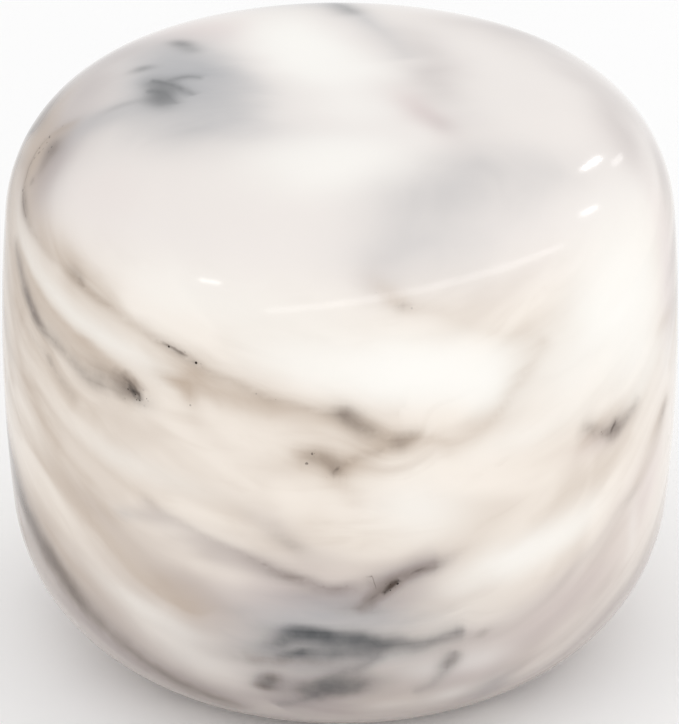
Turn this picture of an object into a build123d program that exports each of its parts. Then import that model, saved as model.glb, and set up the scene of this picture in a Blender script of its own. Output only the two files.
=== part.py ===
from build123d import *
import os
from math import atan2, degrees, sqrt

# Shaving bowl turned from one block of polished stone.
# It stands mouth down: the flat land of the rim rests on z = 0, the closed base faces up
# along +Z, and the origin is the centre of the mouth. Lengths are in millimetres.

# Driving dimensions
body_radius = 48.0         # largest outer radius
height = 84.0              # rim land to base
widest_height = 38.5       # height of the largest radius above the rim land
side_radius = 244.0        # slow outward curve of the side
base_edge_radius = 21.0    # rounding between the side and the base
rim_edge_radius = 25.0     # rounding between the side and the rim
rim_ground_off = 2.2       # stone ground off the rim rounding to make its flat land
rim_width = 3.2            # rim land, from its outer corner to the wall of the hollow
land_edge_radius = 2.0     # soft outer edge of the land
lip_radius = 1.6           # soft inner edge of the land
base_thickness = 20.0      # stone between the floor of the hollow and the base

# Centre of the side curve, which puts its widest point at body_radius
side_centre = (body_radius - side_radius, widest_height)


def edge_centre(edge_radius, centre_height):
    """Centre of an edge rounding that runs smoothly into the side curve."""
    rise = centre_height - widest_height
    reach = sqrt((side_radius - edge_radius) ** 2 - rise**2)
    return (side_centre[0] + reach, centre_height)


def angle_on_side(centre):
    """Angle at which the side curve meets the edge rounding with this centre."""
    return degrees(atan2(centre[1] - widest_height, centre[0] - side_centre[0]))


base_centre = edge_centre(base_edge_radius, height - base_edge_radius)
base_angle = angle_on_side(base_centre)
rim_centre = edge_centre(rim_edge_radius, rim_edge_radius - rim_ground_off)
rim_angle = angle_on_side(rim_centre)

# The rim rounding stops where the ground land cuts it off
land_reach = sqrt(rim_edge_radius**2 - rim_centre[1] ** 2)
land_radius = rim_centre[0] + land_reach
land_angle = degrees(atan2(-rim_centre[1], land_reach))

# Hollow: a straight round wall that ends in a hemisphere, so a brush finds no corner in it
mouth_radius = land_radius - rim_width
hollow_depth = height - base_thickness
floor_centre = (0, hollow_depth - mouth_radius)

with BuildPart() as bowl:
    # Half section of the bowl in the XZ plane, turned about +Z
    with BuildSketch(Plane.XZ):
        # Outside: rim rounding, side, base rounding and flat base
        with BuildLine():
            CenterArc(rim_centre, rim_edge_radius, land_angle, rim_angle - land_angle)
            CenterArc(side_centre, side_radius, rim_angle, base_angle - rim_angle)
            CenterArc(base_centre, base_edge_radius, base_angle, 90 - base_angle)
            Polyline((base_centre[0], height), (0, height), (0, 0), (land_radius, 0))
        make_face()

        # Hollow
        with BuildLine():
            CenterArc(floor_centre, mouth_radius, 0, 90)
            Polyline((0, hollow_depth), (0, 0), (mouth_radius, 0), (mouth_radius, floor_centre[1]))
        make_face(mode=Mode.SUBTRACT)

        # Soft edges on both sides of the rim's land
        fillet(vertices().sort_by_distance((mouth_radius, 0))[0], lip_radius)
        fillet(vertices().sort_by_distance((land_radius, 0))[0], land_edge_radius)
    revolve(axis=Axis.Z)

bowl.part.label = "bowl"

os.makedirs("parts", exist_ok=True)
export_step(bowl.part, "parts/bowl.step")
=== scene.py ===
"""Looks of the shaving bowl: one turned and polished block of veined stone, standing mouth down.

The stone's veins and clouds are placed on the outside of the bowl. A place is
(azimuth, tape): azimuth in degrees from the camera's side, positive to the camera's right, and
tape in millimetres along the outside from the middle of the base, at the top, to the rim.
Everything in the scene is in metres.
"""

import math

import bpy
import numpy as np
from mathutils import Matrix, Vector, noise


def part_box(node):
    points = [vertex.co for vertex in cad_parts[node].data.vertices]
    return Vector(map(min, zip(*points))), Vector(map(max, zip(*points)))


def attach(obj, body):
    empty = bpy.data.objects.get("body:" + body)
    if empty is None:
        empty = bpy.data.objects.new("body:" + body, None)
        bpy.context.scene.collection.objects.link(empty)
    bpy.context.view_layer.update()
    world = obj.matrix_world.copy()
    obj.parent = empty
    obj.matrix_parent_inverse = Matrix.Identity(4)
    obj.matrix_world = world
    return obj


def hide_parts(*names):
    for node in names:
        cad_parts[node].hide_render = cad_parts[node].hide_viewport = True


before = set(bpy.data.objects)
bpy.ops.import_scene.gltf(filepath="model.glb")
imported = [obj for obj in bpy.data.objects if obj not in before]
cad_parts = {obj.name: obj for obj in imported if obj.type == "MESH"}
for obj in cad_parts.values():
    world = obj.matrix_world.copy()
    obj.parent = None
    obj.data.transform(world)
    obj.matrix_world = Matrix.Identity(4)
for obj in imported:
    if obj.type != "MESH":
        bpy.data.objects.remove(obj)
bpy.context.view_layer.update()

MM = 0.001
SEED = 11  # for the smooth noise that bends the veins
noise.seed_set(SEED)

# ---------------------------------------------------------------------------------------------
# Form: the half section that part.py turns, from the middle of the base to the hollow's floor
# ---------------------------------------------------------------------------------------------

low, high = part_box("bowl")
BODY_RADIUS = (high.x - low.x) / 2
HEIGHT = high.z - low.z
WIDEST_HEIGHT = 0.0385
SIDE_RADIUS = 0.244
BASE_EDGE_RADIUS = 0.021
RIM_EDGE_RADIUS = 0.025
RIM_GROUND_OFF = 0.0022
RIM_WIDTH = 0.0032
LAND_EDGE_RADIUS = 0.002
LIP_RADIUS = 0.0016
BASE_THICKNESS = 0.020
SEGMENTS = 360  # round the axis


def edge_centre(radius, centre_height):
    """Centre of an edge rounding that runs smoothly into the side curve."""
    rise = centre_height - WIDEST_HEIGHT
    reach = math.sqrt((SIDE_RADIUS - radius) ** 2 - rise**2)
    return (BODY_RADIUS - SIDE_RADIUS + reach, centre_height)


def angle_from(centre, point):
    """Angle in radians from a centre to a point of the section."""
    return math.atan2(point[1] - centre[1], point[0] - centre[0])


def arc_rows(centre, radius, start, end, steps, inward=False):
    """Rows (radius, height, normal) along an arc, without its first point."""
    facing = -1.0 if inward else 1.0
    rows = []
    for k in range(1, steps + 1):
        a = start + (end - start) * k / steps
        c, s = math.cos(a), math.sin(a)
        rows.append((centre[0] + radius * c, centre[1] + radius * s, facing * c, facing * s))
    return rows


def line_rows(start, end, normal, steps):
    """Rows (radius, height, normal) along a straight run, without its first point."""
    rows = []
    for k in range(1, steps + 1):
        t = k / steps
        r = start[0] + (end[0] - start[0]) * t
        z = start[1] + (end[1] - start[1]) * t
        rows.append((r, z, normal[0], normal[1]))
    return rows


def section():
    """All rows of the half section, how many of them are the outside and the rim's land, and the
    height of the middle of the hollow's round end. Each run ends with its number of steps."""
    side = (BODY_RADIUS - SIDE_RADIUS, WIDEST_HEIGHT)
    base = edge_centre(BASE_EDGE_RADIUS, HEIGHT - BASE_EDGE_RADIUS)
    rim = edge_centre(RIM_EDGE_RADIUS, RIM_EDGE_RADIUS - RIM_GROUND_OFF)
    land_radius = rim[0] + math.sqrt(RIM_EDGE_RADIUS**2 - rim[1] ** 2)
    mouth_radius = land_radius - RIM_WIDTH
    rim_turn = RIM_EDGE_RADIUS - LAND_EDGE_RADIUS
    land_drop = rim[1] - LAND_EDGE_RADIUS
    land_edge = (rim[0] + math.sqrt(rim_turn**2 - land_drop**2), LAND_EDGE_RADIUS)
    lip = (mouth_radius + LIP_RADIUS, LIP_RADIUS)
    floor_centre = (0.0, HEIGHT - BASE_THICKNESS - mouth_radius)
    base_angle = angle_from(side, base)
    rim_angle = angle_from(side, rim)
    land_angle = angle_from(rim, land_edge)
    down = -math.pi / 2

    rows = [(0.0, HEIGHT, 0.0, 1.0)]
    rows += line_rows((0.0, HEIGHT), (base[0], HEIGHT), (0.0, 1.0), 32)
    rows += arc_rows(base, BASE_EDGE_RADIUS, math.pi / 2, base_angle, 50)
    rows += arc_rows(side, SIDE_RADIUS, base_angle, rim_angle, 58)
    rows += arc_rows(rim, RIM_EDGE_RADIUS, rim_angle, land_angle, 42)
    rows += arc_rows(land_edge, LAND_EDGE_RADIUS, land_angle, down, 7)
    rows += line_rows((land_edge[0], 0.0), (lip[0], 0.0), (0.0, -1.0), 3)
    outside = len(rows)
    rows += arc_rows(lip, LIP_RADIUS, down, -math.pi, 7)
    rows += line_rows((mouth_radius, LIP_RADIUS), (mouth_radius, floor_centre[1]), (-1.0, 0.0), 24)
    rows += arc_rows(floor_centre, mouth_radius, 0.0, math.pi / 2, 36, inward=True)
    return np.array(rows), outside, floor_centre[1]


ROWS, OUTSIDE, HOLLOW_CENTRE = section()
OUTER = ROWS[:OUTSIDE]
TAPE = np.concatenate(([0.0], np.cumsum(np.hypot(*np.diff(OUTER[:, :2], axis=0).T)))) / MM


def turned_points():
    """The section turned about Z, ring by ring between two poles, with its exact normals.

    Also returns, for each vertex, the place on the outside that it takes its veins from: its
    own, or for the hollow the one straight out from the middle of the hollow, so that a vein
    runs on through the wall.
    """
    turn = np.linspace(0.0, 2 * math.pi, SEGMENTS, endpoint=False)
    sin, cos = np.sin(turn), np.cos(turn)
    rings = ROWS[1:-1]
    count = len(rings)

    def spin(radius, height):
        x = radius[:, None] * sin
        y = -radius[:, None] * cos
        z = np.repeat(height[:, None], SEGMENTS, axis=1)
        return np.stack([x, y, z], -1).reshape(-1, 3)

    def with_poles(first, middle, last):
        return np.concatenate([[first], middle, [last]])

    points = with_poles((0, 0, ROWS[0, 1]), spin(rings[:, 0], rings[:, 1]), (0, 0, ROWS[-1, 1]))
    normals = with_poles((0, 0, 1), spin(rings[:, 2], rings[:, 3]), (0, 0, -1))

    # Ray out from the middle of the hollow, as an angle that falls along the outside
    outer_angle = np.arctan2(OUTER[:, 1] - HOLLOW_CENTRE, OUTER[:, 0])
    angle = np.arctan2(rings[:, 1] - HOLLOW_CENTRE, rings[:, 0])
    radius = np.interp(-angle, -outer_angle, OUTER[:, 0])
    height = np.interp(-angle, -outer_angle, OUTER[:, 1])
    own = np.arange(1, count + 1) < OUTSIDE
    radius = np.where(own, rings[:, 0], radius)
    height = np.where(own, rings[:, 1], height)
    top = (0, 0, HEIGHT)
    places = with_poles(top, spin(radius, height), top)

    return points, normals, places


def turned_faces(value):
    """Triangles between the rings. Each four-sided patch is cut along the diagonal on which the
    value changes less, so that the edge of a slanting vein isn't notched."""
    k = np.arange(SEGMENTS)
    n = (k + 1) % SEGMENTS
    ring_count = len(ROWS) - 2
    last = 1 + ring_count * SEGMENTS
    tail = last - SEGMENTS
    faces = [np.stack([np.zeros_like(k), 1 + k, 1 + n], -1)]
    for ring in range(ring_count - 1):
        a = 1 + ring * SEGMENTS
        b = a + SEGMENTS
        falling = np.abs(value[a + k] - value[b + n])
        rising = np.abs(value[b + k] - value[a + n])
        first = np.where(falling <= rising, (a + k, b + k, b + n), (a + k, b + k, a + n))
        second = np.where(falling <= rising, (a + k, b + n, a + n), (b + k, b + n, a + n))
        faces += [first.T, second.T]
    faces.append(np.stack([tail + k, np.full_like(k, last), tail + n], -1))
    return np.concatenate(faces).tolist()


points, normals, places = turned_points()


# ---------------------------------------------------------------------------------------------
# Marble: veins and clouds placed on the outside
# ---------------------------------------------------------------------------------------------

TONES = ("tan", "umber", "ink", "grey", "slate", "cream", "shade", "pink", "calm_and_sheen")
LAYERS = ("vein_a", "vein_b", "vein_c", "vein_d")
WIDEST_ROW = int(OUTER[:, 0].argmax())
BED_UP = (-0.49, 0.87)  # the stone's beds lean: their normal in Y and Z


def on_outside(azimuth, tape):
    """Points and outward normals at places on the outside."""
    a = np.radians(azimuth)
    r, z, nr, nz = (np.interp(tape, TAPE, OUTER[:, k]) for k in range(4))
    point = np.stack([r * np.sin(a), -r * np.cos(a), z], -1)
    normal = np.stack([nr * np.sin(a), -nr * np.cos(a), nz], -1)
    return point, normal


def spline(points, per_step=8):
    """Smooth line through given points, each with any further numbers along with it."""
    p = np.array(points, float)
    padded = np.concatenate([[2 * p[0] - p[1]], p, [2 * p[-1] - p[-2]]])
    out = []
    for k in range(len(p) - 1):
        a, b, c, d = padded[k : k + 4]
        for t in np.linspace(0, 1, per_step, endpoint=False):
            square = (2 * a - 5 * b + 4 * c - d) * t**2
            cube = (3 * b - 3 * c + d - a) * t**3
            out.append(0.5 * (2 * b + (c - a) * t + square + cube))
    return np.array(out + [p[-1]])


def side_path(points):
    """Path through (azimuth, tape, darkness) on the side."""
    s = spline(points)
    point, normal = on_outside(s[:, 0], s[:, 1])
    return point, normal, np.clip(s[:, 2], 0, 1)


def tape_at(radius):
    """Tape on the base and its edge at a distance in mm from the axis."""
    return np.interp(radius * MM, OUTER[: WIDEST_ROW + 1, 0], TAPE[: WIDEST_ROW + 1])


def top_path(points):
    """Path through (x, y, darkness) on the base seen from above, in millimetres."""
    s = spline(points)
    azimuth = np.degrees(np.arctan2(s[:, 0], -s[:, 1]))
    point, normal = on_outside(azimuth, tape_at(np.hypot(s[:, 0], s[:, 1])))
    return point, normal, np.clip(s[:, 2], 0, 1)


def near(points, path, reach):
    """The points within reach of a path: which they are, their signed distance in mm (positive
    to the left of the path, which is up for one listed from left to right), how far along the
    path they are from 0 to 1, and the darkness there."""
    centre, normal, dark = path
    margin = reach * MM
    inside = np.all((points > centre.min(0) - margin) & (points < centre.max(0) + margin), axis=1)
    chosen = np.flatnonzero(inside)
    p = points[chosen]
    length = np.linalg.norm(np.diff(centre, axis=0), axis=1)
    run = np.concatenate(([0], np.cumsum(length)))
    best = np.full(len(p), np.inf)
    signed, along, shade = np.zeros(len(p)), np.zeros(len(p)), np.zeros(len(p))
    for k in range(len(length)):
        if length[k] < 1e-7:
            continue
        tangent = (centre[k + 1] - centre[k]) / length[k]
        t = np.clip((p - centre[k]) @ tangent / length[k], 0, 1)
        gap = p - (centre[k] + t[:, None] * length[k] * tangent)
        distance = np.linalg.norm(gap, axis=1)
        closer = distance < best
        sign = np.where(gap @ np.cross(normal[k], tangent) >= 0, 1.0, -1.0)
        signed = np.where(closer, sign * distance, signed)
        along = np.where(closer, (run[k] + t * length[k]) / run[-1], along)
        shade = np.where(closer, dark[k] * (1 - t) + dark[k + 1] * t, shade)
        best = np.where(closer, distance, best)
    return chosen, signed / MM, along, shade


def warp(points, size, amount, shift):
    """Bends points by smooth noise, size and amount in millimetres."""
    offset = Vector((shift, -shift, 2 * shift))
    move = [noise.noise_vector(Vector(p) / (size * MM) + offset) for p in points]
    return points + np.array(move) * amount * MM


def across_beds(points):
    """Height across the stone's beds in mm. They lean, and level off round the back."""
    y = points[:, 1] / MM
    y = np.where(y > 0, 12 * np.tanh(y / 12), y)
    return BED_UP[1] * points[:, 2] / MM + BED_UP[0] * y


def smooth(start, end, value):
    """0 at the start and 1 at the end, with a soft step between. The end may be the lower one."""
    t = np.clip((value - start) / (end - start), 0, 1)
    return t * t * (3 - 2 * t)


# Veins and small clouds are laid on places that are bent a little, broad clouds on ones bent more
traced = warp(places, 5, 0.4, 5)
bent = warp(warp(places, 20, 1.8, 3), 6, 0.8, 7)
tones = {tone: np.zeros(len(places)) for tone in TONES}
layers = {name: np.tile((99.0, 1.0, 0.0), (len(places), 1)) for name in LAYERS}

# Each vertex's bed is its own height across the beds, pulled towards any guide veins near it
bed_weight = np.full(len(places), 0.005)
bed_sum = bed_weight * across_beds(places)


def add_tone(tone, chosen, amount):
    """Lays more of a tone over what is there, never past full."""
    tones[tone][chosen] = 1 - (1 - tones[tone][chosen]) * (1 - np.clip(amount, 0, 1))


VEIN_REACH = 12  # mm from its line to where a vein's band has faded
GUIDE_REACH = 40  # mm over which the beds bend to a guide
HALO = 0.75  # half width of a vein's smoky halo in mm
BROAD = 3  # mm from the middle, from which a cloud counts as broad


def vein(layer, points, tone="tan", soft=0.5, above=0.8, below=2.5, halo=0.0, width=0.14,
         top=False, guide=False):
    """One vein: a soft band of a tone that fades over so many mm above and below, with a smoky
    halo and a thin broken line of a half width in mm along the middle where it is dark. The
    stone's beds follow a guide."""
    path = (top_path if top else side_path)(points)
    chosen, signed, along, shade = near(traced, path, VEIN_REACH)
    ends = smooth(0, 0.08, along) * smooth(1, 0.92, along)
    if layer:
        dark = shade * ends * (1 - smooth(2.0, 3.0, np.abs(signed)))
        old = layers[layer][chosen]
        new = np.stack([signed, np.full(len(signed), width), dark], -1)
        layers[layer][chosen] = np.where((dark > old[:, 2])[:, None], new, old)
    fade = np.where(signed > 0, signed / above, -signed / below)
    add_tone(tone, chosen, soft * (0.4 + 0.6 * shade) * ends * np.exp(-(fade**1.5)))
    if halo:
        smoke = np.exp(-((np.abs(signed) / HALO) ** 1.5))
        add_tone("umber", chosen, halo * shade * ends * smoke)
    if guide:
        chosen, signed, along, shade = near(places, path, GUIDE_REACH)
        level = across_beds(path[0]).mean()
        weight = smooth(0, 0.25, along) * smooth(1, 0.75, along) * 9 / (signed**2 + 9) ** 2
        bed_sum[chosen] += weight * (level + signed)
        bed_weight[chosen] += weight


def cloud(tone, azimuth, tape, length, width, turn, amount, sharp=1.0):
    """One soft patch of a tone. Length and width are in mm from the middle, and turn is in
    degrees from level, positive where the right end is higher."""
    centre, normal = on_outside(azimuth, tape)
    a = math.radians(azimuth)
    east = np.array([math.cos(a), math.sin(a), 0])
    up = np.cross(normal, east)
    points = traced if width < BROAD else bent
    gap = (points - centre) / MM
    u, v, w = gap @ east, gap @ up, gap @ normal
    c, s = math.cos(math.radians(turn)), math.sin(math.radians(turn))
    spread = ((u * c + v * s) / length) ** 2 + ((v * c - u * s) / width) ** 2 + (w / 30) ** 2
    value = amount * np.exp(-(spread**sharp))
    chosen = np.flatnonzero(value > 0.004)
    add_tone(tone, chosen, value[chosen])


def top_cloud(tone, x, y, length, width, turn, amount, sharp=1.0):
    """A soft patch on the base, placed as seen from above with the camera's side at the bottom,
    with turn positive anticlockwise."""
    azimuth = math.degrees(math.atan2(x, -y))
    tape = float(tape_at(math.hypot(x, y)))
    cloud(tone, azimuth, tape, length, width, turn - azimuth, amount, sharp)


def clouds(tone, *patches):
    """Soft patches of one tone, each with its numbers as cloud takes them."""
    for patch in patches:
        cloud(tone, *patch)


def top_clouds(tone, *patches):
    """Soft patches of one tone on the base, each with its numbers as top_cloud takes them."""
    for patch in patches:
        top_cloud(tone, *patch)


# The base is calmer and cooler than the side, partly painted sheen for the hazy reflection on it;
# towards the rim the stone turns lilac grey, partly its own colour and partly painted shade
# where the lower edge turns under, away from the light
tape_by_height = np.interp(-places[:, 2], -OUTER[:, 1], TAPE)
tape_by_radius = tape_at(np.hypot(places[:, 0], places[:, 1]) / MM)
place_tape = np.where(places[:, 2] > HEIGHT - 4 * MM, tape_by_radius, tape_by_height)
tones["calm_and_sheen"] += 0.95 * smooth(58, 44, place_tape)
tones["shade"] += 0.62 * smooth(86, 116, place_tape)

# Upper vein: a loop under the base's left edge, then down across the front
vein("vein_a", [(-72.5, 36, 0.1), (-75, 39, 0.3), (-77, 43, 0.4), (-76, 46.8, 0.5),
                (-72.5, 49.6, 0.6), (-68.6, 51.1, 0.6), (-65.2, 52.2, 0.4), (-61.8, 52.9, 0.25),
                (-57.5, 53.4, 0.15), (-53.2, 53.9, 0.15), (-49, 54.7, 0.25), (-46, 55.3, 0.25),
                (-42, 56.1, 0.15), (-36, 57.3, 0.05)],
     "tan", 0.75, 3.0, 0.6, halo=0.55)
vein("vein_a", [(-54, 54, 0.0), (-46, 55.4, 0.1), (-38.2, 56.8, 0.1), (-33.8, 58, 0.15),
                (-30.8, 59.1, 0.25), (-28, 59.7, 0.35), (-25.2, 60.3, 0.4), (-23.2, 60.9, 0.3),
                (-21, 61.8, 0.25), (-17.4, 62.5, 0.2), (-14, 63.4, 0.2), (-10.4, 64.6, 0.25),
                (-5.7, 65.2, 0.2), (-1.6, 66.3, 0.2), (0.8, 66.8, 0.25), (3, 67.6, 0.25),
                (6, 69, 0.15), (8.5, 70.2, 0.2), (12, 70.2, 0.15), (15.5, 70.6, 0.1)],
     "tan", 0.85, 0.8, 1.8, halo=0.6, guide=True)
vein(None, [(-31, 58.9, 0.1), (-28.4, 59.6, 0.9), (-26.4, 60.0, 0.7), (-23.6, 60.8, 0.5),
            (-20, 62, 0.0)], "ink", 0.42, 0.35, 0.35)
vein("vein_d", [(-30.6, 59.1, 0.1), (-28, 59.5, 0.6), (-26.3, 59.9, 0.7), (-25, 60.3, 0.7),
                (-23.6, 60.9, 0.4), (-21.5, 61.6, 0.1)], "umber", 0.25, 0.4, 0.5, width=0.13)
clouds("umber", (2.4, 67.3, 3.0, 1.6, -34, 0.42), (0.8, 66.0, 1.6, 0.9, 0, 0.2),
       (0.4, 66.3, 1.2, 0.6, -10, 0.25), (8.6, 70.6, 1.6, 1.2, -10, 0.3),
       (11.2, 69.9, 1.8, 1.0, 30, 0.26), (-47.6, 54.3, 2.0, 0.8, -16, 0.24),
       (-46.4, 55.0, 0.7, 0.45, -25, 0.5), (-71.8, 42.4, 2.0, 1.6, 25, 0.66),
       (-70.5, 44.5, 1.2, 1.6, 10, 0.3), (-71.2, 47.2, 0.7, 0.6, 10, 0.45),
       (-69.5, 50.4, 3.0, 0.9, -26, 0.4))
# Painted shade along the left outline: the tan at azimuth -84 and -86 here, and the shade at -84
# below
clouds("tan", (3, 67.8, 4.8, 2.2, -24, 0.5), (9, 70.6, 5, 1.8, 0, 0.5),
       (15.5, 70.7, 3, 0.8, -8, 0.3), (-9, 66.4, 10, 1.9, -10, 0.36),
       (-19, 64.2, 6, 2.0, -14, 0.36), (-50, 53.0, 6, 2.0, -12, 0.34), (-77, 46, 5, 5, -20, 0.4),
       (-58, 51.5, 7, 2.4, -14, 0.24), (-84, 43, 10, 3, -32, 0.6), (-86, 50, 9, 3, -34, 0.5))
clouds("ink", (-27.6, 59.8, 2.2, 0.5, -20, 0.28), (-23.4, 60.9, 1.2, 0.5, -20, 0.32),
       (-12.4, 63.8, 1.0, 0.6, -30, 0.34), (-9.9, 64.6, 0.7, 0.5, 0, 0.3),
       (-72.2, 42.2, 0.8, 1.2, 15, 0.36), (-75.9, 43, 1.2, 4.5, 8, 0.3),
       (-72.5, 49.2, 2.8, 0.9, -35, 0.42))
clouds("shade", (-71, 44, 4.5, 5, 15, 0.6), (-67, 42, 5, 5, 0, 0.25),
       (-64, 48.5, 5, 3, -25, 0.3), (-84, 46, 9, 3, -34, 0.3))

# Long pale band under the loop, then a lens of brown that ends in a nearly black point
vein(None, [(-78, 49.5, 0.0), (-72, 53, 0.3), (-67, 55, 0.6), (-60, 57, 0.8), (-52, 58.8, 1.0),
            (-45, 60.2, 1.0), (-38, 61.3, 1.0), (-30, 63, 0.8), (-24, 64, 0.2)],
     "cream", 0.5, 1.9, 1.9)
vein(None, [(-72, 55.4, 0.5), (-66, 56.8, 0.8), (-57.7, 59.7, 0.8), (-51.3, 61.5, 0.8),
            (-45.2, 62.4, 0.8), (-39.8, 63.5, 0.8), (-35, 65.0, 0.9), (-31, 66.4, 0.4)],
     "tan", 0.62, 0.6, 3.8)
vein("vein_b", [(-72, 54.8, 0.2), (-70.5, 56.1, 0.3), (-67.5, 58.5, 0.3), (-63.6, 61.2, 0.4),
                (-61.2, 62.6, 0.5), (-59, 63.5, 0.5), (-55.7, 64.6, 0.35), (-52.4, 65.3, 0.3),
                (-49, 66.2, 0.15), (-44.6, 67.5, 0.15), (-41.8, 67.9, 0.2), (-38.4, 67.9, 0.2)],
     "umber", 0.6, 1.6, 1.0, halo=0.6, width=0.2, guide=True)
vein("vein_d", [(-38.5, 64.4, 0.1), (-37, 65.0, 0.4), (-35.5, 65.7, 0.6), (-34, 66.4, 0.9),
                (-33.2, 67.0, 1.0), (-32.4, 67.4, 0.3)], "umber", 0.3, 0.4, 0.8, width=0.2)
vein(None, [(-37, 64.4, 0.2), (-34.5, 65.2, 0.8), (-33, 65.9, 0.7), (-31.5, 66.4, 0.1)],
     "umber", 0.5, 0.35, 0.9)
vein("vein_c", [(-66.9, 65, 0.2), (-61.2, 66.5, 0.25), (-57, 67.4, 0.3), (-54.4, 68.2, 0.4),
                (-52.5, 69.1, 0.3), (-50, 70.4, 0.2), (-46, 72.4, 0.1)],
     "tan", 0.5, 1.6, 1.6, halo=0.35, guide=True)
vein(None, [(-92, 43, 0.8), (-86, 49, 0.9), (-80, 53.5, 0.9), (-74, 58, 0.9), (-69, 62.5, 0.8),
            (-63, 66.5, 0.4)], "tan", 0.85, 2.4, 1.8)
vein(None, [(-84, 51, 0.6), (-79, 57, 0.9), (-74, 63, 0.9), (-69, 68.5, 0.8), (-63.5, 73.5, 0.8),
            (-57, 77.5, 0.7), (-49, 80.5, 0.5)], "tan", 0.5, 1.4, 1.4)
vein(None, [(-85, 58, 0.7), (-80, 65, 0.9), (-75, 72, 0.8), (-69, 78, 0.5)], "tan", 0.5, 1.6, 2.0)
# Painted shade along the left outline: the umber bands from azimuth -93 to -84 here and the tan
# ones from -80 to -77 below, slanting like the beds
clouds("umber", (-61, 62.6, 3.6, 1.0, -26, 0.8), (-67, 58.8, 2.5, 1.2, -40, 0.3),
       (-37.8, 66.4, 4.2, 1.4, -14, 0.36), (-34.8, 67.0, 2.2, 1.2, -26, 0.86),
       (-38, 68.0, 4, 0.8, -4, 0.36), (-54.2, 68.2, 1.0, 0.5, -30, 0.3),
       (-50, 70.3, 3, 0.9, -24, 0.18), (-93, 42.5, 4, 2.2, -25, 0.7),
       (-88, 48.5, 9, 1.8, -34, 0.6), (-86, 57, 9, 2.2, -34, 0.6),
       (-84, 66.5, 10, 1.8, -33, 0.5), (-85, 74, 8, 1.6, -33, 0.45))
clouds("tan", (-62, 62, 6, 2.4, -26, 0.4), (-44, 65.2, 8, 2.2, -14, 0.2),
       (-77, 56, 12, 5, -34, 0.6), (-80, 66, 12, 5, -34, 0.6), (-80, 76, 11, 3.4, -33, 0.5),
       (-52, 71, 12, 1.4, -16, 0.24), (-40, 71.6, 10, 1.2, -8, 0.15))
clouds("ink", (-34.2, 67.0, 1.5, 0.6, -36, 1.0, 1.3), (-33.6, 67.2, 2.2, 1.2, -30, 0.3),
       (-31.2, 66.9, 0.9, 0.6, 0, 0.36), (-45.1, 63.8, 1.0, 0.5, -30, 0.34),
       (-52.2, 65.3, 1.2, 0.5, -30, 0.36), (-40.4, 69.6, 0.7, 0.5, 0, 0.3),
       (-35.3, 69, 1.4, 0.5, -10, 0.36))

# Soft strands down the left side
vein(None, [(-72, 71, 0.3), (-65, 74.5, 0.4), (-57, 78, 0.5), (-49, 81, 0.5), (-42, 83.5, 0.3)],
     "tan", 0.36, 0.9, 1.4)
vein(None, [(-62, 72.5, 0.3), (-54, 75.5, 0.5), (-46, 78, 0.5), (-37, 80.6, 0.4), (-28, 83, 0.2)],
     "tan", 0.25, 1.2, 1.2)
vein(None, [(-76, 77, 0.3), (-70, 80, 0.5), (-60, 83.4, 0.6), (-50, 87, 0.7), (-42, 90, 0.6),
            (-34, 94.5, 0.6), (-26, 97.3, 0.7), (-20, 98.5, 0.4)],
     "tan", 0.5, 3.2, 1.0, guide=True)
clouds("tan", (-50, 85, 10, 3.0, -14, 0.35), (-64, 68, 12, 9, -20, 0.28),
       (-78, 86, 12, 4, -30, 0.6), (-60, 92, 7, 4, -22, 0.3), (-40, 85.5, 5, 2.4, -14, 0.2))
cloud("grey", -36, 85.4, 2.0, 0.8, 5, 0.4)
# Painted shade along the lower left outline: this umber, and the tan at azimuth -78 just above
cloud("umber", -76, 91, 9, 3.4, -29, 0.5)
cloud("shade", -42, 86.5, 10, 2.6, -16, 0.2)

# Lower vein: soft and grey-brown on the left, a smoky wedge with black specks on the right
vein("vein_b", [(-34, 81.5, 0.0), (-27, 84, 0.1), (-20, 86, 0.15), (-14.2, 87.7, 0.25),
                (-10.7, 88.9, 0.4), (-8.6, 89.6, 0.45), (-5.2, 90.3, 0.35), (-2.6, 91.3, 0.35),
                (-0.5, 91.7, 0.35), (1.6, 91.3, 0.3), (4, 90.7, 0.2)],
     "shade", 0.8, 0.7, 1.8, halo=0.55)
vein("vein_c", [(3.4, 94, 0.2), (5, 93, 0.4), (6.3, 92.2, 0.5), (7.4, 91.6, 0.6), (8.4, 90.8, 0.5),
                (10.2, 90.5, 0.3), (11.6, 90.1, 0.3), (12.6, 89.4, 0.4), (14.2, 89.1, 0.25),
                (16, 88.8, 0.1)],
     "shade", 0.9, 2.0, 1.0, halo=0.5)
vein(None, [(6.5, 92.6, 0.6), (7.3, 91.7, 1.0), (8.3, 90.9, 0.9), (9.6, 90.4, 0.4)],
     "ink", 0.95, 0.4, 0.4)
vein("vein_d", [(6.3, 92.9, 0.2), (7.0, 92.2, 0.9), (7.7, 91.5, 1.0), (8.5, 90.8, 0.9),
                (9.3, 90.4, 0.2)], "umber", 0.5, 0.5, 0.5, width=0.24)
vein("vein_d", [(10.3, 90.2, 0.1), (11.4, 89.7, 0.6), (12.5, 89.2, 0.6), (13.8, 89.0, 0.3),
                (15.2, 88.9, 0.1)], "umber", 0.2, 0.4, 0.4, width=0.12)
vein("vein_d", [(3.6, 90.0, 0.1), (4.3, 89.8, 0.7), (5.2, 89.7, 0.6), (5.9, 89.6, 0.1)],
     "umber", 0.1, 0.3, 0.3, width=0.12)
clouds("umber", (-8.2, 89.7, 3.2, 0.8, -12, 0.42), (-2, 91.8, 4, 0.8, -4, 0.24),
       (8.2, 90.9, 2.8, 1.1, 30, 0.72), (13.2, 89.1, 3.0, 1.0, 14, 0.4),
       (5.4, 90.7, 2.0, 0.9, 0, 0.3), (2.6, 94.7, 3.0, 0.8, -4, 0.36),
       (4.2, 93.6, 1.8, 1.0, 30, 0.4), (-7.6, 84.9, 2.6, 1.1, -24, 0.22))
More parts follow.
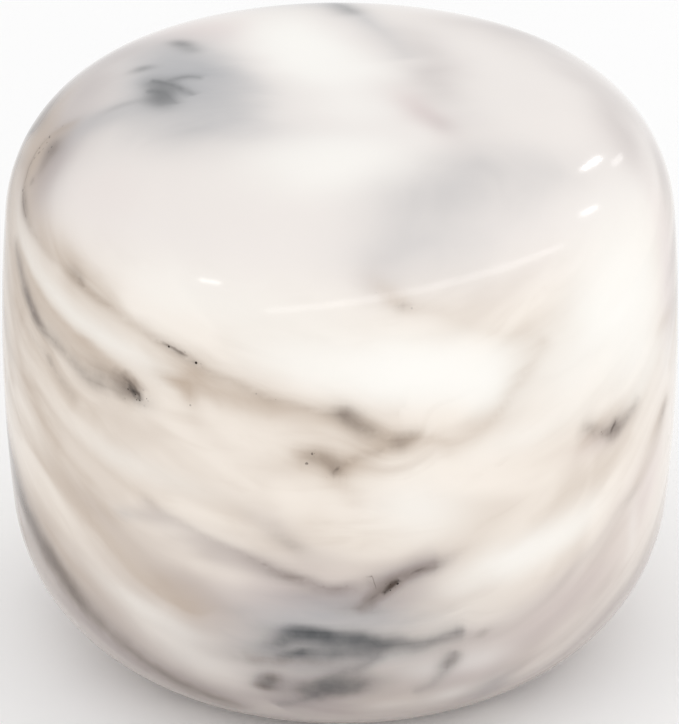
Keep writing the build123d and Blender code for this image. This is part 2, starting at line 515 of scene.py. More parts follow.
clouds("shade", (-4.7, 93.1, 4, 0.9, -6, 0.5), (9.5, 89.6, 6, 1.8, 14, 0.6),
       (-9, 83.6, 5, 2.2, -28, 0.45), (-31, 84.5, 3, 1.2, 0, 0.3),
       (-16, 88.5, 10, 2.0, -12, 0.4), (-20, 93.5, 12, 4.0, -10, 0.36),
       (-6, 87, 14, 2.4, -6, 0.3), (-1, 93.5, 10, 2.6, 0, 0.66), (9, 92.6, 5, 2.0, 14, 0.4))
clouds("ink", (7.8, 91.4, 1.2, 0.5, 45, 0.24), (9.6, 90.5, 1.2, 0.5, 20, 0.3),
       (12.4, 89.5, 1.0, 0.5, 30, 0.42), (14.6, 88.8, 0.9, 0.5, 10, 0.3),
       (4.7, 89.8, 1.0, 0.45, 10, 0.4))
clouds("tan", (-6, 83, 12, 4, -4, 0.24), (-27, 95, 8, 2.4, -14, 0.3))

# Cool haze and slate streaks below it, with a long soft tail to the right
vein(None, [(0, 98.8, 0.5), (3.7, 99.3, 0.6), (6.4, 100.4, 0.9), (9.1, 100.5, 0.8),
            (12.7, 100.8, 0.7), (16, 100.5, 0.7), (19.6, 99.9, 0.7), (21, 99.6, 0.2)],
     "slate", 0.68, 1.0, 1.1)
vein(None, [(-5, 107.4, 0.3), (-2.7, 106.6, 0.6), (1.1, 104.9, 0.8), (3.8, 104.1, 0.9),
            (5.6, 102.7, 0.9), (7.2, 101.7, 0.5)], "slate", 0.42, 1.2, 1.2)
vein(None, [(-12, 114, 0.3), (-8.8, 112.5, 0.6), (-5.5, 111, 0.9), (-3, 109.6, 0.7)],
     "slate", 0.5, 1.6, 1.6)
vein(None, [(19.2, 102.6, 0.2), (18.7, 103.4, 0.7), (18, 105.2, 1.0), (17.4, 106.8, 0.7),
            (15.6, 108.8, 0.4), (12, 110.4, 0.1)], "slate", 0.36, 1.2, 1.2)
clouds("grey", (1, 96.6, 13, 3.0, -2, 0.66), (-9, 99, 7, 4, 0, 0.5), (0, 102.5, 14, 4, 0, 0.6),
       (28, 114, 3, 4, -20, 0.4))
clouds("slate", (-2.8, 99.3, 6.6, 1.6, -4, 0.7, 1.4), (-4.0, 98.6, 3.8, 1.0, -2, 1.0, 1.3),
       (3.5, 100.3, 6, 1.3, -4, 0.44), (-9.6, 100.3, 2.8, 1.1, 16, 0.6),
       (-7.4, 102.1, 2.8, 0.8, 8, 0.66), (-6.4, 101.8, 0.9, 0.5, 20, 0.5),
       (-0.5, 101.8, 7, 1.3, 0, 0.6), (-1.0, 108.2, 5.4, 2.4, 8, 0.72, 1.4),
       (-11.9, 107.8, 1.6, 1.8, 20, 0.45))
clouds("umber", (-9.5, 103.3, 7, 1.3, 2, 0.5), (-1.0, 108.6, 6, 2.2, 8, 0.45),
       (-11.3, 106.9, 1.3, 1.0, 10, 0.72), (-12.5, 108.8, 1.6, 1.1, 15, 0.72),
       (18.2, 104.9, 1.2, 2.0, -20, 0.4), (28, 114.5, 2.0, 3.6, -20, 0.2),
       (23.4, 100.8, 1.2, 0.6, 20, 0.34), (34, 119, 10, 3, 20, 0.2))
clouds("shade", (-8, 104.5, 12, 2.4, 0, 0.5), (-11, 117, 8, 3.0, 4, 0.3),
       (-11.5, 108, 4.5, 3.2, 20, 0.6), (-4, 112, 15, 4, 3, 0.6), (-16, 102, 4, 8, 0, 0.1),
       (20.5, 100.5, 4, 2.0, 0, 0.35))
clouds("cream", (9.5, 112.7, 5, 2.2, 6, 0.3), (20, 112.5, 4, 2.2, 8, 0.3),
       (14, 106, 5, 3, 6, 0.25), (24, 105, 5, 3, 6, 0.3))
cloud("tan", 9.5, 112.9, 6, 3, 6, 0.2)
clouds("pink", (22, 107, 6, 4, 6, 0.5), (-9, 94, 10, 5, 0, 0.5))

# Brown band round the lower left
vein(None, [(-116, 76.5, 0.0), (-106, 79, 0.2), (-95, 82.2, 0.5), (-84, 86.6, 0.7),
            (-75, 91.5, 0.9), (-68, 95.2, 1.0), (-60, 98.4, 1.0), (-52, 102, 1.0),
            (-44, 105.8, 0.7), (-36, 110, 0.7), (-26, 114, 0.8), (-14, 117.5, 0.7)],
     "umber", 0.78, 2.0, 2.8, guide=True)
# Painted shade along the lower left outline: the umber at azimuth -86 and -76, the shade at -82
# and -90 and the tan at -80; the rest is the stone's own band
clouds("umber", (-57, 99.8, 7, 1.7, -24, 0.68), (-67, 95.6, 5, 1.8, -28, 0.62),
       (-86, 87, 8, 2.4, -28, 0.6), (-76, 99.5, 9, 2.0, -26, 0.4))
clouds("shade", (-58, 100, 22, 5, -24, 0.55), (-46, 109, 12, 3, -18, 0.4),
       (-82, 94, 13, 5, -28, 0.7), (-90, 103, 14, 3, -22, 0.4))
clouds("tan", (-54, 98, 14, 4, -22, 0.3), (-80, 99, 12, 3.4, -26, 0.5))
clouds("cream", (-28, 103.5, 12, 3.4, -20, 0.35), (-33, 99.5, 10, 1.6, -16, 0.3))

# Olive triangle and the dotted V under the upper vein
vein(None, [(-7.4, 73, 0.1), (-5, 72.2, 0.5), (-3.4, 72.1, 0.8), (-1.8, 72.9, 0.9),
            (-0.5, 74, 1.0), (0.8, 73.5, 0.7), (2.8, 72.3, 0.6), (5, 71.7, 0.4),
            (7.5, 71.3, 0.2)],
     "tan", 0.6, 1.2, 1.4)
vein("vein_d", [(-1.3, 74.6, 0.3), (-0.8, 74.25, 1.0), (-0.4, 73.95, 0.9), (-0.1, 73.5, 0.3),
                (0.4, 73.2, 0.1)], "umber", 0.4, 0.4, 0.4, width=0.2)
vein(None, [(0.4, 73.2, 0.6), (1.6, 72.8, 0.5), (2.8, 72.2, 0.5), (4.6, 71.8, 0.4),
            (6.6, 71.4, 0.3)], "umber", 0.26, 0.5, 0.6)
clouds("tan", (-23, 62.4, 2.0, 1.0, -20, 0.6), (-25.6, 64, 3.0, 0.9, -8, 0.75),
       (-24, 65.2, 1.1, 1.8, 15, 0.6), (-25, 69, 3, 0.8, 0, 0.25), (-0.5, 73, 6.5, 2.6, 0, 0.4),
       (0.5, 76.4, 3.2, 1.8, -50, 0.3), (-4, 70, 9, 2.4, -6, 0.18))
clouds("ink", (-24.0, 66.6, 0.5, 1.4, 0, 0.28), (-1.6, 75.2, 1.0, 0.6, -20, 0.28),
       (2.8, 72.4, 0.8, 0.6, 0, 0.36), (-5.1, 72.8, 0.9, 0.7, 0, 0.36),
       (-3.6, 71.9, 1.3, 0.5, -10, 0.3), (-6.9, 72.6, 0.8, 0.6, 0, 0.26))
clouds("umber", (-3.6, 72.3, 2.2, 1.1, -8, 0.3), (-0.8, 73.5, 1.7, 1.2, -35, 0.4))

# Right side: a smoky dark spot in a tan band, and the long band below it
vein(None, [(40.5, 73.5, 0.0), (43, 74.7, 0.2), (46, 76.1, 0.5), (49.5, 77.1, 1.0),
            (52, 76.6, 0.6), (55.5, 75.6, 0.3), (58, 74.3, 0.1)],
     "umber", 0.5, 1.2, 1.2)
vein("vein_d", [(47.9, 77.3, 0.2), (48.5, 76.9, 0.8), (49.1, 76.5, 1.0), (49.7, 76.0, 0.8),
                (50.3, 75.6, 0.2)], "umber", 0.5, 0.5, 0.5, width=0.2)
vein(None, [(30, 86, 0.2), (35, 84.3, 0.4), (42, 82.6, 0.4), (48, 81.3, 0.7), (53, 80.2, 0.8),
            (56, 78.6, 0.3)], "tan", 0.16, 1.4, 1.8)
vein(None, [(20, 100.6, 0.2), (28, 99.8, 0.7), (37, 97.5, 0.8), (44, 94.5, 0.8), (50, 91.3, 0.7),
            (57, 88, 0.7), (63.5, 84, 0.9), (68, 80.6, 1.0), (72, 79, 0.4)],
     "shade", 0.36, 1.6, 2.6, guide=True)
vein(None, [(70, 76, 0.1), (76, 71.5, 0.6), (82, 66, 0.8), (88, 61, 0.6), (95, 57, 0.2)],
     "tan", 0.5, 1.0, 2.0)
# The umber at azimuth 82 and 84 is painted shade along the right outline
clouds("umber", (49.2, 76.5, 2.0, 1.2, 10, 0.55), (43.6, 74.7, 1.5, 0.9, -20, 0.1),
       (55.0, 75.7, 1.4, 0.7, 25, 0.22), (68, 80.6, 2.0, 1.1, 30, 0.3),
       (56, 89.2, 2.4, 0.7, 22, 0.2), (82, 72, 6, 1.6, 32, 0.3), (84, 64, 7, 1.4, 32, 0.3))
clouds("ink", (49, 76.6, 1.6, 0.9, 30, 0.26), (46.0, 75.8, 1.2, 0.6, -25, 0.28))
clouds("tan", (47.5, 75.8, 7, 2.2, -2, 0.36), (36, 76.2, 7, 2.4, -4, 0.16),
       (66, 81.5, 5.0, 2.4, 35, 0.55), (60, 87, 5, 1.6, 30, 0.25), (69, 67, 4, 1.6, 0, 0.3))
clouds("pink", (46, 76.8, 6, 2.2, 0, 0.4), (62, 89, 9, 6, 30, 0.6), (40, 101, 14, 4, 12, 0.5),
       (71, 60, 4, 12, 0, 0.8))
# Painted reflection: a narrow upright pale streak, laid into the stone's colour
cloud("cream", 57, 95, 1.6, 5, 15, 0.25)
# Painted shade along the right outline: the shade patches from azimuth 73 to 84
clouds("shade", (52, 107, 10, 5, 12, 0.24), (70, 104, 10, 6, 20, 0.22),
       (76, 62, 4, 8, -30, 0.25), (80, 58, 8, 3, 34, 0.5), (81, 67, 8, 2.6, 32, 0.6),
       (84, 78, 9, 3, 30, 0.4), (73, 43, 5, 5, 0, 0.35), (82, 50, 8, 3, 32, 0.5))

# Cream patches
clouds("cream", (12, 60.6, 15, 5.0, -6, 0.95, 1.6), (21, 65.4, 7, 3.4, -16, 0.8, 1.3),
       (52, 58, 12, 10, 0, 0.9, 1.4), (57, 68, 8, 7, 0, 0.6), (40, 67, 9, 5, 0, 0.5),
       (11, 80.5, 7, 4.0, -6, 0.6), (30, 90, 10, 3.2, 10, 0.7), (40, 88.5, 8, 2.6, 14, 0.5),
       (-14, 53.5, 18, 4.5, -6, 0.5), (-8, 59.5, 9, 3.2, -8, 0.6), (-30, 53, 8, 4, -10, 0.3),
       (-34, 77.5, 12, 2, -8, 0.3), (30, 72.5, 9, 2.4, 6, 0.4), (72, 73, 5, 4, 0, 0.3))

# Tan edge of the middle patch, and the cool haze above it
vein(None, [(6, 50, 0.4), (10, 52.3, 0.9), (14, 53, 0.7), (20, 55.3, 0.4), (27, 57.7, 0.4),
            (33, 57.5, 0.3)], "tan", 0.22, 1.6, 1.2)
vein(None, [(35.5, 59, 0.3), (32, 62, 0.6), (28.5, 65.3, 0.7), (25, 68.7, 0.9), (20, 71, 0.5),
            (15, 72.5, 0.3)], "tan", 0.4, 1.4, 1.8)
cloud("umber", 10, 52.2, 0.9, 0.5, 0, 0.3)
clouds("ink", (10.2, 52.2, 1.5, 0.8, 0, 0.36), (6.3, 50.2, 0.8, 1.0, 0, 0.28))
cloud("tan", 8, 50.5, 3, 1.2, -35, 0.3)
clouds("grey", (13, 45.5, 9, 4.5, 5, 0.3), (45, 40, 9, 3, 10, 0.12))
cloud("shade", 6, 49, 3, 3, 30, 0.2)

# Base, as seen from above: blue-grey haze with slate strokes on the left, soft lines on the right
vein(None, [(-26, -3.2, 0.4), (-24.8, -3.6, 0.9), (-23.4, -4.3, 1.0), (-22.2, -5.5, 0.9),
            (-20.7, -7.4, 0.6), (-19.2, -9, 0.1)], "slate", 0.7, 0.8, 1.0, top=True)
vein(None, [(-26.2, -7.2, 0.5), (-24.3, -7.5, 0.9), (-23.4, -8.9, 0.9), (-22.5, -10.9, 0.5),
            (-21.8, -12.5, 0.1)], "slate", 0.6, 0.9, 1.0, top=True)
vein(None, [(-23.4, -3.6, 0.4), (-22, -2.4, 0.8), (-20.6, -1.8, 0.8), (-18.6, -2.3, 0.3)],
     "slate", 0.6, 0.9, 1.0, top=True)
vein(None, [(-36, 26, 0.0), (-31, 31, 0.4), (-26, 35.4, 0.8), (-21, 39.4, 1.0), (-16, 42.4, 0.8),
            (-10, 44.6, 0.3), (-4, 45.6, 0.0)], "slate", 0.5, 1.5, 2.4, top=True)
vein(None, [(-11, 45.5, 0.0), (-8, 42.5, 0.4), (-5, 38.6, 1.0), (-2.8, 34.8, 1.0), (-1, 31, 0.8),
            (0.8, 27, 0.5), (2.8, 22.5, 0.1)], "slate", 0.6, 1.6, 2.2, top=True)
vein(None, [(-2, 32, 1.0), (0.2, 28.5, 1.0), (3.2, 22.5, 0.8), (6, 16.5, 0.4), (8.2, 10.5, 0.1),
            (10, 4, 0.0)],
     "grey", 0.6, 2.2, 3.0, top=True)
top_clouds("cream", (-5, 10, 15, 6.5, 108, 0.95, 1.6), (0, 2, 7, 6, 0, 0.5),
           (-1, -30, 11, 6.5, 5, 0.8, 1.3), (1, -13, 5, 9, 10, 0.45), (40, -20, 6, 9, -20, 0.4))
top_clouds("grey", (-22, -1, 7, 15, -8, 0.88, 1.5), (-17, -9, 6.5, 12, 12, 0.72, 1.2),
           (-13, -4, 4, 7, 25, 0.35), (-19, -20, 10, 6, -20, 0.5), (-32, -12.5, 9, 3.2, 5, 0.5),
           (-25, 7, 4, 7, 0, 0.5), (-4, 34, 8, 6, 0, 0.8), (19, -29, 11, 5, 22, 0.36),
           (12, -36, 9, 5, 25, 0.34))
# Partly the stone's own brown and partly painted shade along the base's outline: the shade at x
# -42 and -41, the umber at (-40, 8) and the band at (-14, 33) along the back-left edge
top_clouds("shade", (-35, 1, 7, 14, 0, 0.6), (-31, 11, 8, 5, 30, 0.5),
           (-39, -14, 5, 8, -35, 0.4), (-42, 2, 5, 16, 0, 0.9), (-41, 12, 6, 4, 60, 0.6),
           (-14, 33, 13, 4.5, 18, 0.6), (12, -18, 2.4, 6, 28, 0.26), (14, -11, 4, 13, 16, 0.2),
           (12, 2, 5, 11, 10, 0.3), (10, 12, 4, 8, 12, 0.15), (24, 19, 9, 5, -20, 0.4),
           (31, 9, 12, 5, -55, 0.34), (39, -3, 5, 10, 0, 0.3))
top_clouds("umber", (-42.4, 1.2, 2.0, 5.0, 14, 0.95), (-44.2, -4, 1.2, 4.5, 20, 0.4),
           (-40, 8, 4, 6, -30, 0.4))
top_cloud("ink", -42.8, 1.4, 1.2, 3.4, 14, 0.7)
top_cloud("tan", -42, -4, 3, 10, 0, 0.6)
top_clouds("pink", (-20, 17, 8, 5, 10, 0.6), (-30, -28, 7, 5, -40, 0.2),
           (10.6, -15, 2.6, 8, 20, 0.85))
top_clouds("slate", (-23.4, -7.4, 2.4, 5.4, 12, 0.74, 1.2), (-24.2, -11.2, 2.6, 1.8, -35, 0.3),
           (-22.3, 11.3, 1.9, 1.6, -35, 0.6), (-21, 9, 1.8, 1.8, 0, 0.3),
           (-27.2, 1.3, 2.0, 1.1, 36, 0.5), (-29, -10.8, 3, 0.9, 10, 0.2),
           (-22, 38.8, 8, 1.8, 42, 0.7), (-5.2, 38.2, 2.0, 6, 28, 0.95))

# Round the back: veins that go on from both sides of the front, with their clouds
vein("vein_a", [(96, 52, 0.1), (108, 47, 0.25), (121, 43.5, 0.35), (134, 42, 0.2), (148, 43, 0.25),
                (160, 46.5, 0.4), (172, 50.5, 0.25), (186, 53.5, 0.15)],
     "tan", 0.75, 1, 2.4, halo=0.6, guide=True)
vein("vein_b", [(92, 74, 0.1), (106, 69.5, 0.25), (118, 66.5, 0.4), (129, 66, 0.25),
                (142, 68, 0.15), (156, 67, 0.2), (170, 63.5, 0.4), (186, 61, 0.25),
                (200, 61.5, 0.3), (214, 65, 0.15)],
     "tan", 0.83, 1, 3, halo=0.6, guide=True)
vein("vein_c", [(112, 84, 0.1), (124, 80, 0.25), (137, 78.5, 0.45), (148, 79.5, 0.3),
                (158, 82.5, 0.2), (172, 84.5, 0.1)],
     "umber", 0.53, 1.2, 1.6, halo=0.5, guide=True)
vein("vein_a", [(168, 77, 0.1), (180, 74, 0.25), (193, 72.5, 0.4), (206, 74, 0.25),
                (220, 78, 0.15), (233, 80.5, 0.1)],
     "tan", 0.75, 1, 2.6, halo=0.6, guide=True)
vein("vein_b", [(196, 88, 0.1), (210, 85.5, 0.25), (224, 86, 0.35), (238, 89.5, 0.3),
                (252, 93, 0.2), (264, 97, 0.1)],
     "umber", 0.56, 1.8, 3, guide=True)
vein(None, [(104, 101, 0.3), (118, 97.5, 0.8), (132, 96.5, 0.9), (146, 99, 0.7),
            (160, 103, 0.4), (176, 104, 0.2)],
     "slate", 0.55, 1.0, 2.0, guide=True)
vein("vein_c", [(186, 103, 0.1), (200, 99.5, 0.25), (214, 99, 0.3), (228, 102, 0.25),
                (244, 105, 0.15)],
     "umber", 0.56, 1.6, 2.2)
vein(None, [(150, 55, 0.3), (165, 57.5, 0.5), (180, 59, 0.4), (200, 56, 0.6), (220, 55, 0.4),
            (240, 53, 0.3)], "tan", 0.4, 1.2, 2.4)
vein(None, [(100, 62, 0.3), (114, 58.5, 0.6), (128, 56.5, 0.8), (142, 56.5, 0.7), (156, 59, 0.3)],
     "cream", 0.9, 2.2, 2.8)
vein(None, [(176, 68.5, 0.3), (190, 66.5, 0.8), (206, 67.5, 0.9), (222, 70, 0.7), (236, 73, 0.3)],
     "cream", 0.9, 1.8, 2.0)
clouds("umber", (160.5, 46.8, 3.0, 0.9, -18, 0.6), (118, 66.8, 3.2, 0.8, 8, 0.6),
       (137, 78.8, 3.0, 0.9, 0, 0.7), (139, 78.6, 1.4, 0.6, 10, 0.6),
       (193, 72.9, 2.8, 0.8, 3, 0.6), (224, 86.2, 3.4, 1.2, -6, 0.5),
       (172, 63.2, 3.6, 1.1, 6, 0.5))
clouds("ink", (118.5, 66.6, 1.4, 0.5, 8, 0.5), (138.4, 78.6, 1.3, 0.5, 15, 0.75),
       (194, 72.7, 1.2, 0.6, 0, 0.45), (161, 46.9, 1.4, 0.6, -18, 0.4))
clouds("slate", (131, 98.0, 5, 1.2, 2, 0.85, 1.3), (128, 99.6, 7, 1.2, 6, 0.5),
       (122, 102.5, 4, 1.1, 12, 0.45), (213, 100.6, 5, 1.4, 0, 0.5),
       (176, 93, 4.5, 1.2, 18, 0.3))
clouds("grey", (130, 98, 16, 6, 0, 0.6), (205, 104, 20, 6, 5, 0.5), (172, 88, 14, 5, 10, 0.3))
clouds("tan", (128, 88, 15, 4, 8, 0.35), (215, 92, 16, 3.4, -10, 0.45),
       (240, 72, 10, 4, -12, 0.4), (148, 62, 12, 3, -6, 0.3), (100, 60, 8, 3, 14, 0.3))
clouds("pink", (110, 92, 10, 4, 10, 0.6), (185, 80, 14, 3, 0, 0.5))
clouds("cream", (152, 73, 11, 3.4, 0, 0.85, 1.5), (232, 64, 10, 4, -14, 0.7, 1.4),
       (182, 97, 10, 3, 4, 0.5), (96, 86, 8, 6, 25, 0.5), (250, 82, 9, 4, -14, 0.5))

# ---------------------------------------------------------------------------------------------
# Mesh, with the tones on its vertices
# ---------------------------------------------------------------------------------------------

contrast = tones["umber"] + tones["ink"] + tones["slate"]
contrast += 0.4 * (tones["tan"] + tones["shade"] + tones["grey"] - tones["cream"])
mesh = bpy.data.meshes.new("stone_bowl")
mesh.from_pydata(points.tolist(), [], turned_faces(contrast))
mesh.validate()
mesh.polygons.foreach_set("use_smooth", [True] * len(mesh.polygons))
mesh.normals_split_custom_set_from_vertices(normals.tolist())
mesh.update()
bowl = bpy.data.objects.new("stone_bowl", mesh)
bpy.context.scene.collection.objects.link(bowl)
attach(bowl, "root")
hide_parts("bowl")


def store(name, values):
    """Keeps three numbers for each vertex, under a name that the material reads."""
    attribute = mesh.attributes.new(name, "FLOAT_VECTOR", "POINT")
    attribute.data.foreach_set("vector", values.astype(np.float32).ravel())


for name, members in (("warm", ("tan", "umber", "ink")), ("cool", ("grey", "slate", "cream")),
                      ("haze", ("shade", "pink", "calm_and_sheen"))):
    store(name, np.stack([tones[tone] for tone in members], -1))
for name, values in layers.items():
    store(name, values)
attribute = mesh.attributes.new("bedding", "FLOAT", "POINT")
attribute.data.foreach_set("value", (bed_sum / bed_weight).astype(np.float32))

# ---------------------------------------------------------------------------------------------
# Stone material
# ---------------------------------------------------------------------------------------------


def linear(red, green, blue):
    """A colour as seen on a screen, 0 to 255, in the renderer's linear light."""
    return (*(((v / 255 + 0.055) / 1.055) ** 2.4 for v in (red, green, blue)), 1.0)


# The stone's two ground colours, the base's ground (partly painted sheen), and one colour for each
# tone
GROUND_LIGHT = linear(240, 231, 221)
GROUND_DEEP = linear(224, 213, 202)
GROUND_CALM_AND_SHEEN = linear(235, 229, 225)
CREAM = linear(249, 247, 242)
TAN = linear(183, 164, 146)
UMBER = linear(108, 95, 86)
INK = linear(38, 28, 22)
GREY = linear(166, 166, 169)
SLATE = linear(66, 69, 72)
# SHADE is a lilac grey of the stone, also laid as painted shade towards the rim and along the
# outline
SHADE = linear(162, 151, 150)
PINK = linear(224, 210, 207)
LINE = linear(62, 46, 36)
STONE_IOR = 1.42
ROUGHNESS = (0.08, 0.12)  # a polish that varies from place to place
BUMP_STRENGTH = 0.04
BUMP_HEIGHT = 0.4 * MM

stone = bpy.data.materials.new("polished_marble")
stone.use_nodes = True
nodes, links = stone.node_tree.nodes, stone.node_tree.links
shader = nodes["Principled BSDF"]
mesh.materials.append(stone)


def put(value, socket):
    """Links an output to a socket, or sets a plain number or colour on it."""
    if isinstance(value, bpy.types.NodeSocket):
        links.new(value, socket)
    else:
        socket.default_value = value


def calc(operation, a, b=0.5, c=0.5, clamp=False):
    """Arithmetic on up to three outputs or numbers."""
    n = nodes.new("ShaderNodeMath")
    n.operation = operation
    n.use_clamp = clamp
    for value, socket in zip((a, b, c), n.inputs):
        put(value, socket)
    return n.outputs[0]


def ramp(value, low, high, out_low=0.0, out_high=1.0):
    """A soft step between two values of an output, from 0 to 1 unless it says otherwise."""
    n = nodes.new("ShaderNodeMapRange")
    n.interpolation_type = "SMOOTHSTEP"
    put(value, n.inputs["Value"])
    n.inputs["From Min"].default_value = low
    n.inputs["From Max"].default_value = high
    n.inputs["To Min"].default_value = out_low
    n.inputs["To Max"].default_value = out_high
    return n.outputs["Result"]


def mix(amount, a, b):
    """Colour a, turning into colour b as the amount rises to 1."""
    n = nodes.new("ShaderNodeMix")
    n.data_type = "RGBA"
    for value, socket in zip((amount, a, b), (n.inputs[0], n.inputs[6], n.inputs[7])):
        put(value, socket)
    return n.outputs[2]


def field(name, vector=True):
    """What the mesh keeps under a name: three numbers, or only one."""
    n = nodes.new("ShaderNodeAttribute")
    n.attribute_name = name
    if not vector:
        return n.outputs["Fac"]
    split = nodes.new("ShaderNodeSeparateXYZ")
    links.new(n.outputs["Vector"], split.inputs[0])
    return split.outputs[0], split.outputs[1], split.outputs[2]


coordinates = nodes.new("ShaderNodeTexCoord")
position = nodes.new("ShaderNodeSeparateXYZ")
links.new(coordinates.outputs["Object"], position.inputs[0])
bed = field("bedding", vector=False)


def strands(along, across, detail=3.0, distortion=0.4, shift=0.0):
    """Noise drawn out along the stone's beds, along and across in millimetres."""
    place = nodes.new("ShaderNodeCombineXYZ")
    per_metre = 1000 / along
    put(calc("MULTIPLY", position.outputs[0], per_metre), place.inputs[0])
    put(calc("MULTIPLY", position.outputs[1], per_metre), place.inputs[1])
    put(calc("MULTIPLY_ADD", bed, 1 / across, shift), place.inputs[2])
    n = nodes.new("ShaderNodeTexNoise")
    links.new(place.outputs[0], n.inputs["Vector"])
    n.inputs["Scale"].default_value = 1.0
    n.inputs["Detail"].default_value = detail
    n.inputs["Distortion"].default_value = distortion
    return n.outputs["Fac"]


def grain(size, detail=2.0):
    """Even noise, size in millimetres."""
    n = nodes.new("ShaderNodeTexNoise")
    links.new(coordinates.outputs["Object"], n.inputs["Vector"])
    n.inputs["Scale"].default_value = 1000 / size
    n.inputs["Detail"].default_value = detail
    return n.outputs["Fac"]


broad = strands(24, 9, 2.0, 0.6, 4.0)
fine = strands(12, 3.0, 3.0, 0.6, 9.0)
mottle = grain(3.5, 3.0)
specks = grain(0.6, 2.0)


def dots(spacing, largest):
    """Small round dots scattered at random about so many millimetres apart, with their largest
    radius as a share of that."""
    n = nodes.new("ShaderNodeTexVoronoi")
    links.new(coordinates.outputs["Object"], n.inputs["Vector"])
    n.inputs["Scale"].default_value = 1000 / spacing
    split = nodes.new("ShaderNodeSeparateColor")
    links.new(n.outputs["Color"], split.inputs[0])
    radius = calc("MULTIPLY", split.outputs[0], largest)
    return ramp(calc("SUBTRACT", n.outputs["Distance"], radius), 0.05, -0.07)


tan, umber, ink = field("warm")
grey, slate, cream = field("cool")
shade, pink, calm_and_sheen = field("haze")
lively = calc("SUBTRACT", 1.0, calm_and_sheen)


def broken(amount, by, depth):
    """A tone broken up by noise where there is some of it, less on the calm base, whose flatter
    look is partly painted sheen.
    """
    depth_here = calc("MULTIPLY_ADD", lively, 0.5 * depth, 0.5 * depth)
    swing = calc("MULTIPLY", calc("SUBTRACT", by, 0.5), depth_here)
    return calc("MULTIPLY_ADD", swing, ramp(amount, 0.0, 0.35), amount, clamp=True)


colour = mix(ramp(broad, 0.36, 0.64), GROUND_LIGHT, GROUND_DEEP)
colour = mix(calc("MULTIPLY", ramp(fine, 0.48, 0.75), 0.13), colour, TAN)
# The base's calmer, cooler ground is partly painted sheen, standing in for the hazy reflection on
# it
colour = mix(calm_and_sheen, colour, GROUND_CALM_AND_SHEEN)
colour = mix(broken(pink, broad, 0.5), colour, PINK)
colour = mix(broken(shade, broad, 0.7), colour, SHADE)
colour = mix(calc("MULTIPLY", broken(cream, broad, 0.5), 0.95), colour, CREAM)
colour = mix(broken(grey, fine, 0.5), colour, GREY)
colour = mix(broken(tan, fine, 0.55), colour, TAN)
colour = mix(broken(umber, mottle, 0.6), colour, UMBER)
colour = mix(broken(slate, mottle, 0.35), colour, SLATE)
solid_ink = broken(calc("MULTIPLY_ADD", ink, 1.5, -0.5, clamp=True), specks, 0.9)
ink_dots = calc("MULTIPLY", dots(0.7, 0.36), ramp(ink, 0.08, 0.4))
colour = mix(calc("MAXIMUM", solid_ink, ink_dots), colour, INK)

# A thin dark line along each vein's middle, which wanders, swells and breaks off
wobble = calc("MULTIPLY_ADD", grain(1.6, 3.0), 0.7, -0.35)
gaps = grain(2.8, 1.0)
dark_lines = None
for name in LAYERS:
    distance, half_width, dark = field(name)
    away = calc("ABSOLUTE", calc("ADD", distance, wobble))
    core = calc("MULTIPLY", ramp(calc("DIVIDE", away, half_width), 2.4, 0.2), dark)
    core = calc("MULTIPLY", core, ramp(calc("MULTIPLY_ADD", specks, 0.9, dark), 0.55, 1.2))
    core = calc("MULTIPLY", core, ramp(calc("MULTIPLY_ADD", dark, 0.25, gaps), 0.45, 0.75))
    dark_lines = core if dark_lines is None else calc("MAXIMUM", dark_lines, core)
colour = mix(calc("MULTIPLY", dark_lines, 0.8), colour, LINE)
links.new(colour, shader.inputs["Base Color"])

links.new(ramp(mottle, 0.3, 0.7, *ROUGHNESS), shader.inputs["Roughness"])
bump = nodes.new("ShaderNodeBump")
bump.inputs["Strength"].default_value = BUMP_STRENGTH
bump.inputs["Distance"].default_value = BUMP_HEIGHT
links.new(mottle, bump.inputs["Height"])
links.new(bump.outputs["Normal"], shader.inputs["Normal"])
shader.inputs["IOR"].default_value = STONE_IOR

# ---------------------------------------------------------------------------------------------
# Floor, light and camera
# ---------------------------------------------------------------------------------------------


def direction(azimuth, elevation):
    """Unit vector to a place in the studio, azimuth in degrees from the camera's side."""
    a, e = math.radians(azimuth), math.radians(elevation)
    return Vector((math.sin(a) * math.cos(e), -math.cos(a) * math.cos(e), math.sin(e)))


FLOOR_REACH = 4.0
FLOOR_HEIGHT = -0.00002  # just under the rim's land, so that the two don't share one plane
FLOOR_WHITE = (0.97, 0.97, 0.97, 1)
SKY_BRIGHTNESS = 0.965


def floor_plane():
    """A wide, plain, pale floor."""
    floor_mesh = bpy.data.meshes.new("floor")
    signs = ((-1, -1), (1, -1), (1, 1), (-1, 1))
    corners = [(x * FLOOR_REACH, y * FLOOR_REACH, FLOOR_HEIGHT) for x, y in signs]
    floor_mesh.from_pydata(corners, [], [(0, 1, 2, 3)])
    floor = bpy.data.objects.new("floor", floor_mesh)
    bpy.context.scene.collection.objects.link(floor)
    paint = bpy.data.materials.new("floor_paint")
    paint.use_nodes = True
    paint_shader = paint.node_tree.nodes["Principled BSDF"]
    paint_shader.inputs["Base Color"].default_value = FLOOR_WHITE
    paint_shader.inputs["Roughness"].default_value = 0.9
    floor_mesh.materials.append(paint)


floor_plane()


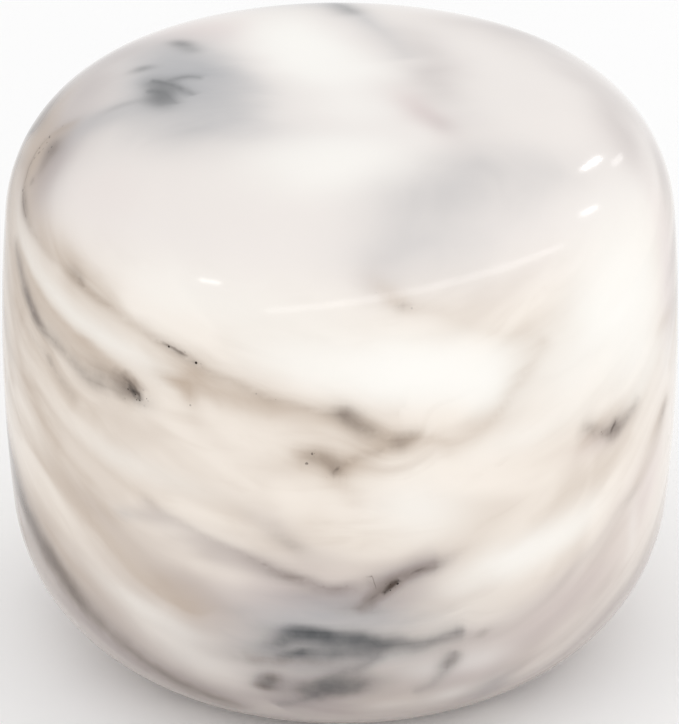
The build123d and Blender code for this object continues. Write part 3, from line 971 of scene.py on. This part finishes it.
def panel(name, azimuth, elevation, distance, width, height, radiance, along):
    """A flat light that faces the bowl, with its width along a direction. Its brightness is given
    as radiance, where 1 is white, so that its size can change without changing how bright its
    reflection looks."""
    data = bpy.data.lights.new(name, "AREA")
    data.shape = "RECTANGLE"
    data.size, data.size_y = width, height
    data.energy = radiance * math.pi * width * height
    light = bpy.data.objects.new(name, data)
    bpy.context.scene.collection.objects.link(light)
    towards = direction(azimuth, elevation)
    light.location = TARGET + distance * towards
    x = Vector(along).normalized()
    z = (towards - towards.dot(x) * x).normalized()
    light.rotation_euler = Matrix((x, z.cross(x), z)).transposed().to_euler()


CAMERA_ELEVATION = 25.75
CAMERA_DISTANCE = 9 * BODY_RADIUS
LENS = 149.9
TARGET = Vector((0.0, 0.0, 0.84 * BODY_RADIUS))
AIM = Vector((-0.00007, 0.0, TARGET.z - 0.00042))  # the photograph's framing

# A long thin tube in front and to the right draws the line under the base's edge
TUBE_PLANE = Vector((0.29, -0.25, -0.92)).normalized()
tube_middle = direction(28, 17)
tube_middle = (tube_middle - tube_middle.dot(TUBE_PLANE) * TUBE_PLANE).normalized()
tube_azimuth = math.degrees(math.atan2(tube_middle.x, -tube_middle.y))
tube_elevation = math.degrees(math.asin(tube_middle.z))
panel("tube", tube_azimuth, tube_elevation, 1.0, 2.5, 0.09, 2.15, TUBE_PLANE.cross(tube_middle))

# Small far lamps, turned so that their reflections lie along the base's edge
panel("lamp_right_back", 126, 30, 1.5, 0.26, 0.06, 11.0, (-0.12, 0.77, -0.62))
panel("lamp_right_back_low", 131, 18.5, 1.5, 0.20, 0.06, 1.8, (-0.35, 0.71, -0.61))
panel("lamp_right", 102, 23.3, 1.5, 0.20, 0.05, 10.0, (0.0, 0.91, -0.43))
panel("lamp_left", -44, 19.8, 1.5, 0.19, 0.05, 9.0, (0.75, -0.65, 0.14))

world = bpy.data.worlds.new("studio")
bpy.context.scene.world = world
world.use_nodes = True
sky = world.node_tree.nodes["Background"]
sky.inputs["Color"].default_value = (1, 1, 1, 1)
sky.inputs["Strength"].default_value = SKY_BRIGHTNESS

camera_data = bpy.data.cameras.new("camera")
camera_data.lens = LENS
camera_data.clip_start = 0.01
camera = bpy.data.objects.new("camera", camera_data)
bpy.context.scene.collection.objects.link(camera)
camera.location = TARGET + CAMERA_DISTANCE * direction(0, CAMERA_ELEVATION)
camera.rotation_euler = (AIM - camera.location).to_track_quat("-Z", "Y").to_euler()
bpy.context.scene.camera = camera

bpy.context.scene.view_settings.view_transform = "Standard"
